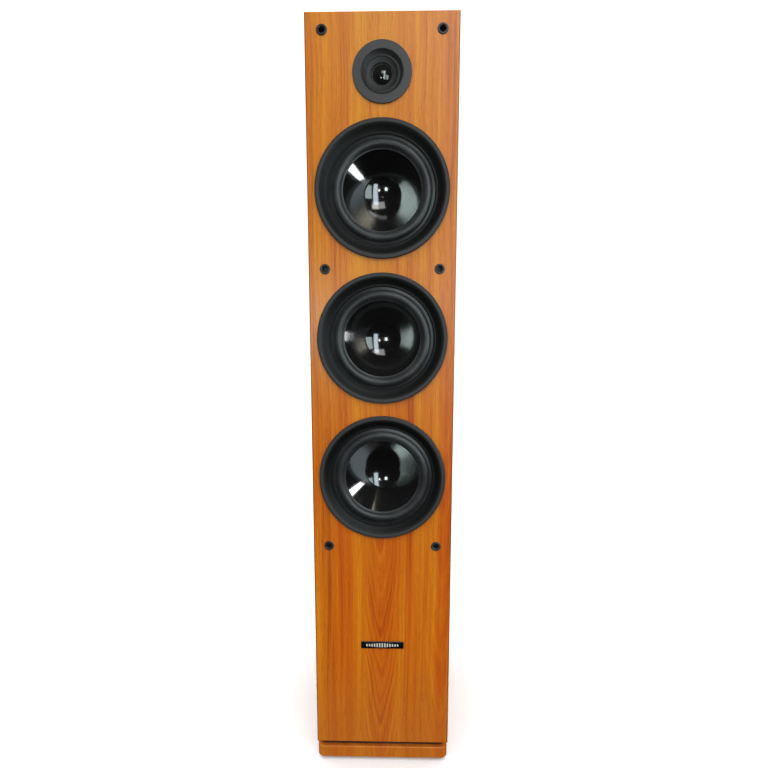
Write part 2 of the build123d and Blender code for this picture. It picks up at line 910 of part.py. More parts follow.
def terminal_cup():
    """Recessed plate that carries the two binding posts."""
    wall = terminal_wall
    half_x, half_z = tub_half_width, tub_half_height
    plane = Plane(origin=(0, rear_face, terminal_z), x_dir=(1, 0, 0), z_dir=(0, 1, 0))
    flange = extrude(plane * RectangleRounded(terminal_width, terminal_height, terminal_corner), wall)
    back = terminal_floor - wall
    tub = box(-half_x, half_x, back, rear_face, terminal_z - half_z, terminal_z + half_z)
    inner_x, inner_z = half_x - wall, half_z - wall
    open_end = rear_face + wall + 1
    hollow = box(-inner_x, inner_x, terminal_floor, open_end, terminal_z - inner_z, terminal_z + inner_z)
    cup = flange + tub - fillet(hollow.edges().filter_by(Axis.Y), tub_corner)
    for x, z in terminal_screw_places():
        cup -= Pos(x, rear_face, z) * rod(screw_radius + fit, -1, wall + 1)
    for x in post_x:
        cup -= on_post(rod(post_tail_radius + fit, -wall - 1, 1), x)
    return cup


def on_post(shape, x):
    """Carries a shape drawn about the Y axis to a binding post; depth 0 is the cup's floor."""
    return Pos(x, terminal_floor, terminal_z) * shape


def binding_post():
    """Metal stud with a plug socket in its tip and a wire hole near its base."""
    socket = post_length - banana_depth
    stud = turned(
        (0, -post_tail_length),
        (post_tail_radius, -post_tail_length),
        (post_tail_radius, 0),
        (post_shoulder_radius, 0),
        (post_shoulder_radius, post_shoulder_height),
        (post_radius, post_shoulder_height),
        (post_radius, post_length),
        (banana_radius, post_length),
        (banana_radius, socket),
        (0, socket),
    )
    return stud - Pos(0, cap_start + wire_hole_radius, 0) * Cylinder(wire_hole_radius, 4 * post_radius)


def binding_nut():
    plane = Plane(origin=(0, -terminal_wall, 0), x_dir=(1, 0, 0), z_dir=(0, -1, 0))
    nut = extrude(plane * RegularPolygon(nut_radius, 6), nut_height)
    return nut - rod(post_tail_radius + fit, -post_tail_length, 1)


def post_washer():
    return tube(washer_radius, post_radius + running, washer_start, cap_start)


def post_cap():
    """Fluted cap that screws on the stud, open at its end for a plug."""
    end = cap_start + post_cap_length
    bore = post_radius + running
    cap = turned(
        (bore, cap_start),
        (post_cap_radius, cap_start),
        (post_cap_radius, end - post_cap_bevel),
        (post_cap_radius - post_cap_bevel, end),
        (bore, end),
    )
    for x, z in around(post_cap_radius + flute_radius / 3, flute_count):
        cap -= Pos(x, 0, z) * rod(flute_radius, cap_start + flute_margin, end + 1)
    return cap


# ---------------------------------------------------------------- crossover and wiring
def crossover_board():
    half_x, half_y = board_width / 2, board_depth / 2
    board = box(-half_x, half_x, board_y - half_y, board_y + half_y, board_bottom, board_top)
    for side_x in (-1, 1):
        for side_y in (-1, 1):
            x = side_x * (half_x - standoff_inset)
            y = board_y + side_y * (half_y - standoff_inset)
            middle_z = inner_floor + standoff_height / 2
            board += Pos(x, y, middle_z) * Cylinder(standoff_radius, standoff_height)
    return board


def choke(x, y, radius, height):
    """Air-cored choke lying flat on the board: a winding between two thin cheeks."""
    winding = Pos(x, y, board_top + height / 2) * Cylinder(radius - 2 * choke_cheek, height)
    for z in (board_top + choke_cheek / 2, board_top + height - choke_cheek / 2):
        winding += Pos(x, y, z) * Cylinder(radius, choke_cheek)
    return winding - Pos(x, y, board_top + height / 2) * Cylinder(radius * choke_core, height + 2)


def capacitor(x, y, radius, length):
    """Film capacitor lying along X, with a narrow flat where it is glued down."""
    body = Pos(x, y, board_top + radius * capacitor_seat) * Rot(0, 90, 0) * Cylinder(radius, length)
    return body - box(x - length, x + length, y - radius, y + radius, board_top - radius, board_top)


def resistor(x, y):
    half_x, half_y = resistor_length / 2, resistor_width / 2
    block = box(x - half_x, x + half_x, y - half_y, y + half_y, board_top, board_top + resistor_height)
    return fillet(block.edges().filter_by(Axis.X), resistor_round)


def lead(*points):
    """Round lead along straight runs joined by tangent arcs."""
    path = FilletPolyline(*points, radius=lead_bend)
    section = Plane(origin=path @ 0, z_dir=path % 0) * Circle(lead_radius)
    return sweep(section, path=path)


def wiring():
    """One lead from the board to each driver, and one from each binding post to the board."""
    loom_y = front_face + motor_back + lead_behind_motor
    tab_drop = tab_spacing / 2
    ends = [(tweeter_tab_radius, tweeter_back_plate, tweeter_z)] + [(tab_x, tab_end, z) for z in woofer_z]
    leads = []
    for n, (x, depth, z) in enumerate(ends):
        rise_x = tab_x - lead_spacing * (len(ends) - n)
        leads.append(
            lead(
                (rise_x, loom_y, board_top),
                (rise_x, loom_y, z - tab_drop - lead_drop),
                (x, loom_y, z - tab_drop),
                (x, front_face + depth + solder_gap, z - tab_drop),
            )
        )
    tail = terminal_floor - post_tail_length - solder_gap
    landing_y = board_y + board_depth / 2 - standoff_inset
    for x in post_x:
        leads.append(
            lead(
                (x, tail, terminal_z),
                (x, tail - 2 * lead_bend, terminal_z),
                (x, landing_y, (terminal_z + board_top) / 2),
                (x, landing_y, board_top),
            )
        )
    return leads


# ---------------------------------------------------------------- every node
def save_cabinet():
    save("front_baffle", front_baffle())
    save("side_panel_left", side_panel(-1))
    save("side_panel_right", side_panel(1))
    save("top_panel", cross_panel(cabinet_top - panel))
    save("bottom_panel", bottom_panel())
    save("rear_panel", rear_panel())
    save("window_braces", *[window_brace(z) for z in brace_z])
    save("damping_pad", damping_pad())
    save("plinth_riser", plinth_riser())
    save("plinth", plinth())
    save("rubber_feet", *[Pos(x, y, 0) * rubber_foot() for x, y in foot_places()])
    save("base_screws", *[Pos(x, y, 0) * base_screw() for x, y in foot_places()])
    save("name_badge", name_badge())
    save("grille_cups", *[on_baffle(grille_cup(), z, x) for x, z in cup_places()])


def save_woofers():
    separate = {
        "basket": basket(),
        "trim_ring": trim_ring(),
        "surround": surround(),
        "cone": cone(),
        "dust_cap": dust_cap(),
        "voice_coil": voice_coil(),
        "spider": spider(),
    }
    for place, z in zip(woofer_names, woofer_z):
        for piece, shape in separate.items():
            save(f"woofer_{place}_{piece}", on_baffle(shape, z))
    shared = {
        "woofer_gaskets": [woofer_gasket()],
        "woofer_magnets": [woofer_magnet()],
        "woofer_motor_steel": [woofer_top_plate(), woofer_yoke()],
        "woofer_terminals": [woofer_terminals()],
    }
    for name, shapes in shared.items():
        save(name, *[on_baffle(shape, z) for z in woofer_z for shape in shapes])


def save_tweeter():
    pieces = {
        "tweeter_cover": tweeter_cover(),
        "tweeter_faceplate": tweeter_faceplate(),
        "tweeter_dome": tweeter_dome(),
        "tweeter_surround": tweeter_surround(),
        "tweeter_voice_coil": tweeter_coil(),
        "tweeter_magnet": tweeter_magnet(),
        "tweeter_terminals": tweeter_terminals(),
    }
    for name, shape in pieces.items():
        save(name, on_baffle(shape, tweeter_z))
    steel = [tweeter_top_plate(), tweeter_yoke()]
    save("tweeter_motor_steel", *[on_baffle(shape, tweeter_z) for shape in steel])


def save_screws():
    screw = wood_screw()
    screws = [Pos(x, front_face + seat, z) * screw for x, z, seat in driver_screw_places()]
    seat = rear_face + terminal_wall
    screws += [Pos(x, seat, z) * Rot(0, 0, 180) * screw for x, z in terminal_screw_places()]
    save("driver_screws", *screws)


def save_rear():
    save("reflex_port", reflex_port())
    save("terminal_cup", terminal_cup())
    save("binding_posts", *[on_post(part, x) for x in post_x for part in (binding_post(), binding_nut())])
    for colour, x in zip(("black", "red"), post_x):
        save(f"post_washer_{colour}", on_post(post_washer(), x))
        save(f"post_cap_{colour}", on_post(post_cap(), x))


def save_crossover():
    save("crossover_board", crossover_board())
    save("crossover_chokes", *[choke(x, board_y + y, *size) for x, y, *size in choke_places])
    save("crossover_capacitors", *[capacitor(x, board_y + y, *size) for x, y, *size in capacitor_places])
    save("crossover_resistors", *[resistor(x, board_y + y) for x, y in resistor_places])
    save("wiring", *wiring())


os.makedirs("parts", exist_ok=True)
save_cabinet()
save_woofers()
save_tweeter()
save_screws()
save_rear()
save_crossover()
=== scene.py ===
import bpy
import bmesh
from math import cos, pi, radians, sin, tau
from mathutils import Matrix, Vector, noise


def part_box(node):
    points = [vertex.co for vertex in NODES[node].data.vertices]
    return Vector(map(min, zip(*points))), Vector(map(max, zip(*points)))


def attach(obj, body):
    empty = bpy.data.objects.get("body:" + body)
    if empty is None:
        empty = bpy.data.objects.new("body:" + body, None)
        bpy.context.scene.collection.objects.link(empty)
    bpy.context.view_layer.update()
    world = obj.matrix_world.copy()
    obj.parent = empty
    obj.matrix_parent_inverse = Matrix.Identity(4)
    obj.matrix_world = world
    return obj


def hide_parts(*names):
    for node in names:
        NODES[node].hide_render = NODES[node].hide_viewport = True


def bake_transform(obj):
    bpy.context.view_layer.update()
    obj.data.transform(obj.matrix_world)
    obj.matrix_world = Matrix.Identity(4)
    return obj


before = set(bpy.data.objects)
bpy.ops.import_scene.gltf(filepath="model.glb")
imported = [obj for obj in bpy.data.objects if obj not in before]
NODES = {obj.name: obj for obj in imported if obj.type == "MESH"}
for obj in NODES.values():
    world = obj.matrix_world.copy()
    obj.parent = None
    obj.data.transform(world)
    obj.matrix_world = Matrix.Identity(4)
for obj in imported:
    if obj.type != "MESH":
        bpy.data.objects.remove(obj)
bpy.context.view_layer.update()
WOOFERS = ("upper", "middle", "lower")

# ---------------------------------------------------------------- places read from the frame
baffle_low, baffle_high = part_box("front_baffle")
FRONT = baffle_low.y
HALF_WIDTH = baffle_high.x
FOOT_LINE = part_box("plinth")[0].z


def middle_of(node):
    low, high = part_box(node)
    return (low + high) / 2


# ---------------------------------------------------------------- shader writing
class Wire:
    """A socket inside a finish. Arithmetic on it adds the Math nodes that it needs."""

    def __init__(self, finish, socket):
        self.finish = finish
        self.socket = socket

    def math(self, operation, *others):
        values = dict(enumerate((self, *others)))
        return self.finish.add("Math", {"operation": operation}, values)

    def __add__(self, other):
        return self.math("ADD", other)

    def __sub__(self, other):
        return self.math("SUBTRACT", other)

    def __mul__(self, other):
        return self.math("MULTIPLY", other)

    def __pow__(self, other):
        return self.math("POWER", other)

    def __rsub__(self, other):
        return self.finish.add("Math", {"operation": "SUBTRACT"}, {0: other, 1: self})

    __radd__ = __add__
    __rmul__ = __mul__

    def squeeze(self, low, high):
        """0 below low, 1 above high, smooth between."""
        settings = {"interpolation_type": "SMOOTHSTEP"}
        return self.finish.add("MapRange", settings, {"Value": self, "From Min": low, "From Max": high})


class Shading:
    """A node tree whose nodes are added by one method."""

    def __init__(self, tree):
        self.tree = tree

    def add(self, kind, settings=None, values=None, output=0):
        """Adds any other node: its settings first, then the values or wires of its sockets."""
        node = self.tree.nodes.new("ShaderNode" + kind)
        for name, value in (settings or {}).items():
            if name == "stops":
                self.set_stops(node.color_ramp, value)
            else:
                setattr(node, name, value)
        for name, value in (values or {}).items():
            if isinstance(value, Wire):
                self.tree.links.new(value.socket, node.inputs[name])
            else:
                node.inputs[name].default_value = value
        return Wire(self, node.outputs[output])

    @staticmethod
    def set_stops(ramp, stops):
        while len(ramp.elements) < len(stops):
            ramp.elements.new(0.5)
        for element, (position, colour) in zip(ramp.elements, stops):
            element.position = position
            element.color = (*colour, 1.0)

    def axes(self, point):
        """The three parts of a vector."""
        parts = self.add("SeparateXYZ", values={0: point}).socket.node
        return [Wire(self, socket) for socket in parts.outputs]


class Finish(Shading):
    """A material with one Principled shader, written as expressions."""

    def __init__(self, name, **uniform):
        self.material = bpy.data.materials.new(name)
        self.material.use_nodes = True
        super().__init__(self.material.node_tree)
        self.shader = self.tree.nodes["Principled BSDF"]
        for socket, value in uniform.items():
            self.shader.inputs[socket.replace("_", " ")].default_value = value

    def place(self):
        """Position on the object, in the row frame, in metres."""
        return self.add("TexCoord", output="Object")

    def point(self, x, y, z):
        return self.add("CombineXYZ", values={0: x, 1: y, 2: z})

    def stretch(self, point, scale):
        return self.add("VectorMath", {"operation": "MULTIPLY"}, {0: point, 1: scale})

    def noise(self, point, scale, detail=2.0, roughness=0.5, distortion=0.0):
        values = {
            "Vector": point,
            "Scale": scale,
            "Detail": detail,
            "Roughness": roughness,
            "Distortion": distortion,
        }
        return self.add("TexNoise", values=values)

    def mix(self, share, first, second):
        first, second = (c if isinstance(c, Wire) else (*c, 1.0) for c in (first, second))
        return self.add("Mix", {"data_type": "RGBA"}, {0: share, 6: first, 7: second}, output=2)

    def ramp(self, value, *stops):
        return self.add("ValToRGB", {"stops": stops}, {0: value})

    def bump(self, height, depth, strength=1.0):
        values = {"Height": height, "Distance": depth, "Strength": strength}
        return self.add("Bump", values=values)

    def drive(self, **wires):
        """Feeds the shader's sockets that vary over the surface."""
        for socket, wire in wires.items():
            self.tree.links.new(wire.socket, self.shader.inputs[socket.replace("_", " ")])
        return self.material


# ---------------------------------------------------------------- finishes
def arched_grain(wood, across, length, middle, width):
    """(tone, mask) of a column of nested growth rings drawn out to points along the grain."""
    wander = (wood.noise(wood.point(0.0, 7.0, length), 9.0, 1.0) - 0.5) * 0.010
    off = (across + wander - middle) * (1.0 / width)
    square = off * off
    arm = (square + 0.03) ** 0.5
    tip = length * 0.55 - (arm * 0.050 + square * 0.016)
    bands = wood.noise(wood.point(5.0 + middle, 0.0, tip), 58.0, 2.0, 0.5)
    mask = 1 - (square ** 0.5).squeeze(0.75, 1.45)
    return bands, mask


def cherry_vinyl(name, along, half_span):
    """Cherry-pattern vinyl: straight grain, a column of arches and a fainter one beside it.

    along is the face that the grain is laid on; half_span is where its rounded edges get a painted shade.
    """
    wood = Finish(name, Specular_IOR_Level=0.38)
    x, y, z = wood.axes(wood.place())
    across, length, other = {"front": (x, z, y), "side": (y, z, x), "top": (x, y, z)}[along]
    sway = (wood.noise(wood.point(across * 0.6, other, length * 0.5), 5.0, 2.0, 0.5) - 0.5) * 0.030
    line = across + sway + other * 1.3
    broad = wood.noise(wood.point(line, 2.0, length * 0.02), 46.0, 2.0, 0.5)
    lines = wood.noise(wood.point(line, 9.0, length * 0.012), 190.0, 3.0, 0.65)
    fine = wood.noise(wood.point(across, other, length * 0.015), 900.0, 3.0, 0.6)
    pores = wood.noise(wood.point(across, other, length * 0.03), 1900.0, 1.0, 0.5)
    straight = broad * 0.55 + lines * 0.45
    middle_arch, middle_mask = arched_grain(wood, across, length, -0.003, 0.021)
    side_arch, side_mask = arched_grain(wood, across, length, 0.092, 0.022)
    fade = 1 - length.squeeze(0.42, 0.62) * 0.65
    tone = straight + (middle_arch - straight) * (middle_mask * fade * 0.72)
    tone = tone + (side_arch - tone) * (side_mask * fade * 0.22)
    tone = tone + (fine - 0.5) * 0.16
    red = wood.ramp(
        tone,
        (0.34, (0.350, 0.048, 0.0008)),
        (0.44, (0.530, 0.096, 0.0010)),
        (0.54, (0.610, 0.145, 0.0014)),
        (0.66, (0.690, 0.215, 0.0025)),
    )
    gold = wood.ramp(
        tone,
        (0.34, (0.440, 0.118, 0.0026)),
        (0.44, (0.620, 0.198, 0.0038)),
        (0.54, (0.710, 0.268, 0.0062)),
        (0.66, (0.790, 0.375, 0.0140)),
    )
    # The gold share is partly real and partly painted light: the stripes are real golden bands in the
    # grain, and the rise towards the top is painted light, the upper board paler as where it is lit.
    high = length.squeeze(0.40, 0.80)
    stripes = wood.noise(wood.point(line, 3.1, length * 0.02), 30.0, 1.0, 0.5).squeeze(0.46, 0.60)
    colour = wood.mix(high * 0.62 + stripes * 0.38, red, gold)
    low = 1 - length.squeeze(0.03, 0.22)
    colour = wood.mix(low * 0.45, colour, (0.46, 0.140, 0.020))
    flecks = (pores - 0.60).squeeze(0.0, 0.12) * 0.45
    colour = wood.mix(flecks, colour, (0.22, 0.036, 0.002))
    # Painted shade: a dark brown line along the rounded edges, where they turn away from the light.
    side_edge = (across * across) ** 0.5
    painted_edge_shade = side_edge.squeeze(half_span - 0.0028, half_span - 0.0010)
    colour = wood.mix(painted_edge_shade * 0.55, colour, (0.20, 0.050, 0.006))
    rough = 0.23 + fine * 0.12
    grain = wood.bump(fine + pores * 0.6, 0.00005, 0.3)
    return wood.drive(Base_Color=colour, Roughness=rough, Normal=grain)


def moulded(name, colour, roughness=0.5, grain=2200.0, depth=0.00004, dust=0.05, **uniform):
    """Moulded plastic or rubber: fine texture, faint cloudiness and a little dust."""
    skin = Finish(name, **uniform)
    place = skin.place()
    texture = skin.noise(place, grain, 2.0, 0.6)
    cloud = skin.noise(place, 26.0, 3.0, 0.55)
    lighter = tuple(c + dust * (1.0 - c) * 0.35 for c in colour)
    tint = skin.mix(cloud.squeeze(0.4, 0.75), colour, lighter)
    rough = cloud * 0.12 + texture * 0.06 + (roughness - 0.09)
    return skin.drive(Base_Color=tint, Roughness=rough, Normal=skin.bump(texture, depth, 0.5))


def polished(name, colour, roughness, **uniform):
    """Glossy lacquered or polished surface with a trace of smear."""
    skin = Finish(name, **uniform)
    place = skin.place()
    smear = skin.noise(place, 60.0, 4.0, 0.6, 0.5)
    orange_peel = skin.noise(place, 240.0, 2.0, 0.5)
    tint = skin.mix(smear, colour, tuple(c * 1.5 + 0.001 for c in colour))
    rough = smear.squeeze(0.35, 0.8) * 0.05 + roughness
    return skin.drive(Base_Color=tint, Roughness=rough, Normal=skin.bump(orange_peel, 0.00003, 0.25))


def turned_rubber(name, middle, painted_light_tones, roughness, **uniform):
    """Round moulding of one driver: (radius, brightness) tones of painted light and shade follow its
    profile.
    """
    ring = Finish(name, **uniform)
    place = ring.place()
    x, y, z = ring.axes(place)
    up = z - middle
    radius = (x * x + up * up) ** 0.5
    first, last = painted_light_tones[0][0], painted_light_tones[-1][0]
    share = (radius - first) * (1.0 / (last - first))
    # Painted light and shade: each stop sets how bright the moulding looks at that radius, lighter where
    # its profile faces the light and darker in its hollows.
    stops = [((r - first) / (last - first), (tone * 0.97, tone, tone * 0.99)) for r, tone in painted_light_tones]
    colour = ring.ramp(share, *stops)
    dust = ring.noise(place, 900.0, 2.0, 0.6)
    colour = ring.mix(dust.squeeze(0.55, 0.85) * 0.10, colour, (0.10, 0.10, 0.095))
    texture = ring.noise(place, 2600.0, 2.0, 0.6)
    rough = texture * 0.10 + roughness
    return ring.drive(Base_Color=colour, Roughness=rough, Normal=ring.bump(texture, 0.00003, 0.4))


def metal(name, colour, roughness, turned_lines=0.0):
    """Plated or machined metal."""
    skin = Finish(name, Metallic=1.0)
    place = skin.place()
    wear = skin.noise(place, 90.0, 4.0, 0.6)
    tint = skin.mix(wear.squeeze(0.35, 0.8), colour, tuple(c * 0.78 for c in colour))
    rough = wear * 0.16 + roughness
    height = skin.noise(skin.stretch(place, (1.0, 12.0, 1.0)), 900.0 + turned_lines, 2.0)
    return skin.drive(Base_Color=tint, Roughness=rough, Normal=skin.bump(height, 0.00003, 0.4))


def painted_board(name, colour):
    """Vinyl-faced board with a fine leather-like print."""
    board = Finish(name)
    place = board.place()
    cells = board.add("TexVoronoi", values={"Vector": place, "Scale": 900.0})
    cloud = board.noise(place, 9.0, 3.0)
    tint = board.mix(cloud, colour, tuple(c * 1.7 for c in colour))
    rough = cloud * 0.1 + 0.48
    return board.drive(Base_Color=tint, Roughness=rough, Normal=board.bump(cells, 0.0001, 0.4))


# ---------------------------------------------------------------- stage: floor, backdrop, lights and camera
def make_object(name, mesh, *materials):
    piece = bpy.data.objects.new(name, mesh)
    bpy.context.scene.collection.objects.link(piece)
    for material in materials:
        mesh.materials.append(material)
    return piece


def studio_floor():
    """Wide pale floor. It is left out of reflections, as under a floor flag."""
    reach = 9.0
    shell = bmesh.new()
    corners = [(-reach, -reach, 0.0), (reach, -reach, 0.0), (reach, reach, 0.0), (-reach, reach, 0.0)]
    shell.faces.new([shell.verts.new(corner) for corner in corners])
    mesh = bpy.data.meshes.new("studio_floor")
    shell.to_mesh(mesh)
    paper = Finish("studio_paper", Roughness=0.9, Specular_IOR_Level=0.1)
    tint = paper.noise(paper.place(), 3.0)
    colour = paper.mix(tint, (0.93, 0.93, 0.93), (0.96, 0.96, 0.96))
    floor = make_object("studio_floor", mesh, paper.drive(Base_Color=colour))
    floor.visible_glossy = False
    floor.visible_diffuse = False


def panel_light(name, place, target, size, radiance, colour=(1.0, 1.0, 1.0), reflected_only=False):
    """A soft rectangular light that faces a point and isn't seen directly."""
    data = bpy.data.lights.new(name, "AREA")
    data.shape = "RECTANGLE"
    data.size, data.size_y = size
    data.energy = radiance * pi * size[0] * size[1]
    data.color = colour
    lamp = bpy.data.objects.new(name, data)
    bpy.context.scene.collection.objects.link(lamp)
    lamp.location = place
    lamp.rotation_mode = "QUATERNION"
    lamp.rotation_quaternion = (Vector(target) - Vector(place)).to_track_quat("-Z", "Y")
    lamp.visible_camera = False
    lamp.visible_diffuse = not reflected_only


def set_world():
    """White behind the speaker; its light falls mostly from above and stays out of reflections."""
    world = bpy.data.worlds.new("studio")
    world.use_nodes = True
    sky = Shading(world.node_tree)
    height = sky.axes(sky.add("TexCoord", output="Generated"))[2]
    light = sky.add("MapRange", values={"Value": height, 1: -0.5, 2: 0.9, 3: 0.30, 4: 1.75})
    seen = sky.add("LightPath", output="Is Camera Ray")
    strength = light.math("MAXIMUM", seen * 1.2)
    background = world.node_tree.nodes["Background"]
    background.inputs["Color"].default_value = (1.0, 1.0, 1.0, 1.0)
    world.node_tree.links.new(strength.socket, background.inputs["Strength"])
    world.cycles_visibility.glossy = False
    bpy.context.scene.world = world


def set_camera():
    """Straight in front, a little right of the middle, at two thirds of the height, looking down."""
    data = bpy.data.cameras.new("camera")
    data.sensor_width = 36.0
    data.lens = 23.38
    camera = bpy.data.objects.new("camera", data)
    bpy.context.scene.collection.objects.link(camera)
    camera.location = (0.0169, FRONT - 0.7235, FOOT_LINE + 0.7038)
    pitch, yaw = radians(7.41), radians(-1.13)
    ahead = Vector((sin(yaw) * cos(pitch), cos(yaw) * cos(pitch), -sin(pitch)))
    camera.rotation_mode = "QUATERNION"
    camera.rotation_quaternion = ahead.to_track_quat("-Z", "Y")
    bpy.context.scene.camera = camera


def light_studio():
    chest = (0.0, FRONT, 0.7)
    set_world()
    panel_light("overhead_panel", (0.45, -2.2, 2.6), chest, (1.6, 1.0), 2.2)
    window = (0.78, 0.92, 1.0)
    leaf, cream, white = (0.74, 0.92, 0.88), (0.92, 0.88, 0.74), (0.93, 0.97, 1.0)
    upper, middle = middle_of("woofer_upper_cone"), middle_of("woofer_middle_cone")
    glints = (
        ("low_side_card", (0.62, -0.20, -0.28), (0.16, 0.16), 14.0, white),
        ("front_left_card", (-0.30, -1.50, -0.18), (0.16, 0.20), 22.0, leaf),
        ("front_right_card", (0.24, -1.50, -0.10), (0.12, 0.14), 14.0, cream),
        ("right_card", (0.85, -0.85, 0.05), (0.60, 0.75), 3.2, leaf),
        ("high_card", (0.42, -0.90, 0.95), (0.40, 0.34), 2.5, cream),
    )
    for name, offset, size, radiance, colour in glints:
        place = upper + Vector(offset)
        panel_light(name, place, (upper + middle) / 2, size, radiance, colour, reflected_only=True)
    window_place, window_size = (0.58, -1.75, 1.10), (0.40, 1.9)
    panel_light("window_reflection", window_place, chest, window_size, 5.4, window, reflected_only=True)
    bpy.context.scene.view_settings.view_transform = "Standard"


# ---------------------------------------------------------------- finishes on the pieces
# ---------------------------------------------------------------- soft pieces and the badge's bars
def smooth_piece(name, shape, finish):
    """A smooth-shaded piece from a closed bmesh, which is freed."""
    bmesh.ops.recalc_face_normals(shape, faces=shape.faces)
    for face in shape.faces:
        face.smooth = True
    mesh = bpy.data.meshes.new(name)
    shape.to_mesh(mesh)
    shape.free()
    return make_object(name, mesh, finish)


def turned_ring(name, middle, profile, finish, steps=144):
    """A closed ring turned about a driver's axis from (radius, depth) points."""
    shape = bmesh.new()
    rings = []
    for step in range(steps):
        angle = tau * step / steps
        side, up = sin(angle), cos(angle)
        rings.append([shape.verts.new((middle.x + r * side, y, middle.z + r * up)) for r, y in profile])
    count = len(profile)
    for step in range(steps):
        here, there = rings[step], rings[(step + 1) % steps]
        for k in range(count):
            following = (k + 1) % count
            shape.faces.new((here[k], there[k], there[following], here[following]))
    return smooth_piece(name, shape, finish)


def hang_between(ring, middle, held_radius, moving_radius):
    """Bakes the ring's transform and works out a smooth share between held_radius and moving_radius for
    each point; the share is not stored.
    """
    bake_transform(ring)
    for vertex in ring.data.vertices:
        radius = Vector((vertex.co.x - middle.x, vertex.co.z - middle.z)).length
        share = min(max((held_radius - radius) / (held_radius - moving_radius), 0.0), 1.0)
        share * share * (3.0 - 2.0 * share)


def half_roll(middle, radius_across, rise_back, height, first, last, steps=28):
    """Points of a roll from its outer foot over the crest to its inner foot."""
    points = []
    for n in range(steps + 1):
        angle = first + (last - first) * n / steps
        points.append((middle + radius_across * cos(angle), rise_back - height * sin(angle)))
    return points


def woofer_roll(place, finish):
    """Half-roll surround with a thin flange on the frame and a landing on the cone."""
    node, body = f"woofer_{place}_surround", f"woofer_{place}_diaphragm"
    flange, landing, rubber, soft_foot = 0.0056, 0.0022, 0.0010, 0.0007
    low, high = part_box(node)
    middle = (low + high) / 2
    edge = (high.x - low.x) / 2
    cone_low, cone_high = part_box(f"woofer_{place}_cone")
    outer = edge - flange
    inner = (cone_high.x - cone_low.x) / 2
    across, centre = (outer - inner) / 2, (outer + inner) / 2
    back, front = high.y, high.y - rubber
    height = high.y - low.y
    start = 0.30
    profile = [(edge, back), (edge, front + 0.0003), (edge - 0.0003, front), (outer + soft_foot, front)]
    profile += half_roll(centre, across, back, height, start, pi - start)
    profile += [(inner - soft_foot, front), (inner - landing + 0.0003, front)]
    profile += [(inner - landing, front + 0.0003), (inner - landing, back)]
    profile += half_roll(centre, across - rubber, back, height - rubber, pi, 0.0)
    ring = turned_ring(f"surround_{place}", middle, profile, finish)
    hang_between(ring, middle, outer, inner)
    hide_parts(node)


def cloth_spider(place, finish):
    """Corrugated cloth ring that centres the voice coil."""
    node, body = f"woofer_{place}_spider", f"woofer_{place}_diaphragm"
    coil, neck, land, lift = 0.01755, 0.0040, 0.0035, 0.0015
    waves, wave_height, cloth = 4, 0.0011, 0.0003
    low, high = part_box(node)
    middle = (low + high) / 2
    edge = (high.x - low.x) / 2
    depth = high.y - lift
    first, last = coil + neck, edge - land
    line = [(coil, depth)]
    steps = waves * 14
    for n in range(steps + 1):
        share = n / steps
        line.append((first + share * (last - first), depth + wave_height * sin(tau * waves * share)))
    line.append((edge, depth))
    front = [(radius, y - cloth) for radius, y in line]
    back = [(radius, y + cloth) for radius, y in reversed(line[:-1])]
    ring = turned_ring(f"spider_{place}", middle, front + [(edge, high.y), (last, high.y)] + back, finish)
    hang_between(ring, middle, last, first)
    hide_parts(node)


def tweeter_roll(finish):
    """Small roll between the dome and its clamped flange."""
    clamp, flange, rise, wall, gap = 0.0040, 0.0009, 0.0012, 0.0004, 0.0001
    low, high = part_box("tweeter_surround")
    middle = (low + high) / 2
    edge = (high.x - low.x) / 2
    outer = edge - clamp
    dome_low, dome_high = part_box("tweeter_dome")
    inner = (dome_high.x - dome_low.x) / 2 + gap
    across, centre = (outer - inner) / 2, (outer + inner) / 2
    top = high.y - flange
    profile = [(edge, high.y), (edge, top)]
    profile += half_roll(centre, across, top, rise, 0.0, pi, 14)
    profile += half_roll(centre, across - wall, top, rise - wall, pi, 0.0, 14)
    profile += [(outer - wall, high.y)]
    ring = turned_ring("tweeter_roll", middle, profile, finish)
    hang_between(ring, middle, outer, inner)
    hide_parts("tweeter_surround")


def wadding(finish):
    """Loose fibre pad on the rear wall: crowned, lumpy, with sides that pull in."""
    low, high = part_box("damping_pad")
    middle, half = (low + high) / 2, (high - low) / 2
    thickness = high.y - low.y
    columns, rows = 56, 44
    shape = bmesh.new()
    fronts, backs = [], []
    for row in range(rows + 1):
        v = 2.0 * row / rows - 1.0
        fronts.append([])
        backs.append([])
        for column in range(columns + 1):
            u = 2.0 * column / columns - 1.0
            x = middle.x + half.x * u * (1.0 - 0.05 * (1.0 - v * v))
            z = middle.z + half.z * v * (1.0 - 0.04 * (1.0 - u * u))
            crown = ((1.0 - u**6) * (1.0 - v**6)) ** 0.5
            lump = noise.noise(Vector((x * 38.0, 3.0, z * 38.0))) * 0.14
            lump += noise.noise(Vector((x * 120.0, 9.0, z * 120.0))) * 0.05
            depth = thickness * (0.10 + crown * (0.74 + lump))
            fronts[-1].append(shape.verts.new((x, high.y - depth, z)))
            backs[-1].append(shape.verts.new((x, high.y, z)))
    for row in range(rows):
        for column in range(columns):
            for sheet in (fronts, backs):
                near, far = sheet[row], sheet[row + 1]
                shape.faces.new((near[column], near[column + 1], far[column + 1], far[column]))
    rims = [(fronts[0], backs[0]), (fronts[-1], backs[-1])]
    rims += [([row[side] for row in fronts], [row[side] for row in backs]) for side in (0, -1)]
    for front, back in rims:
        for n in range(len(front) - 1):
            shape.faces.new((front[n], front[n + 1], back[n + 1], back[n]))
    pad = smooth_piece("wadding", shape, finish)
    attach(pad, "root")
    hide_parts("damping_pad")


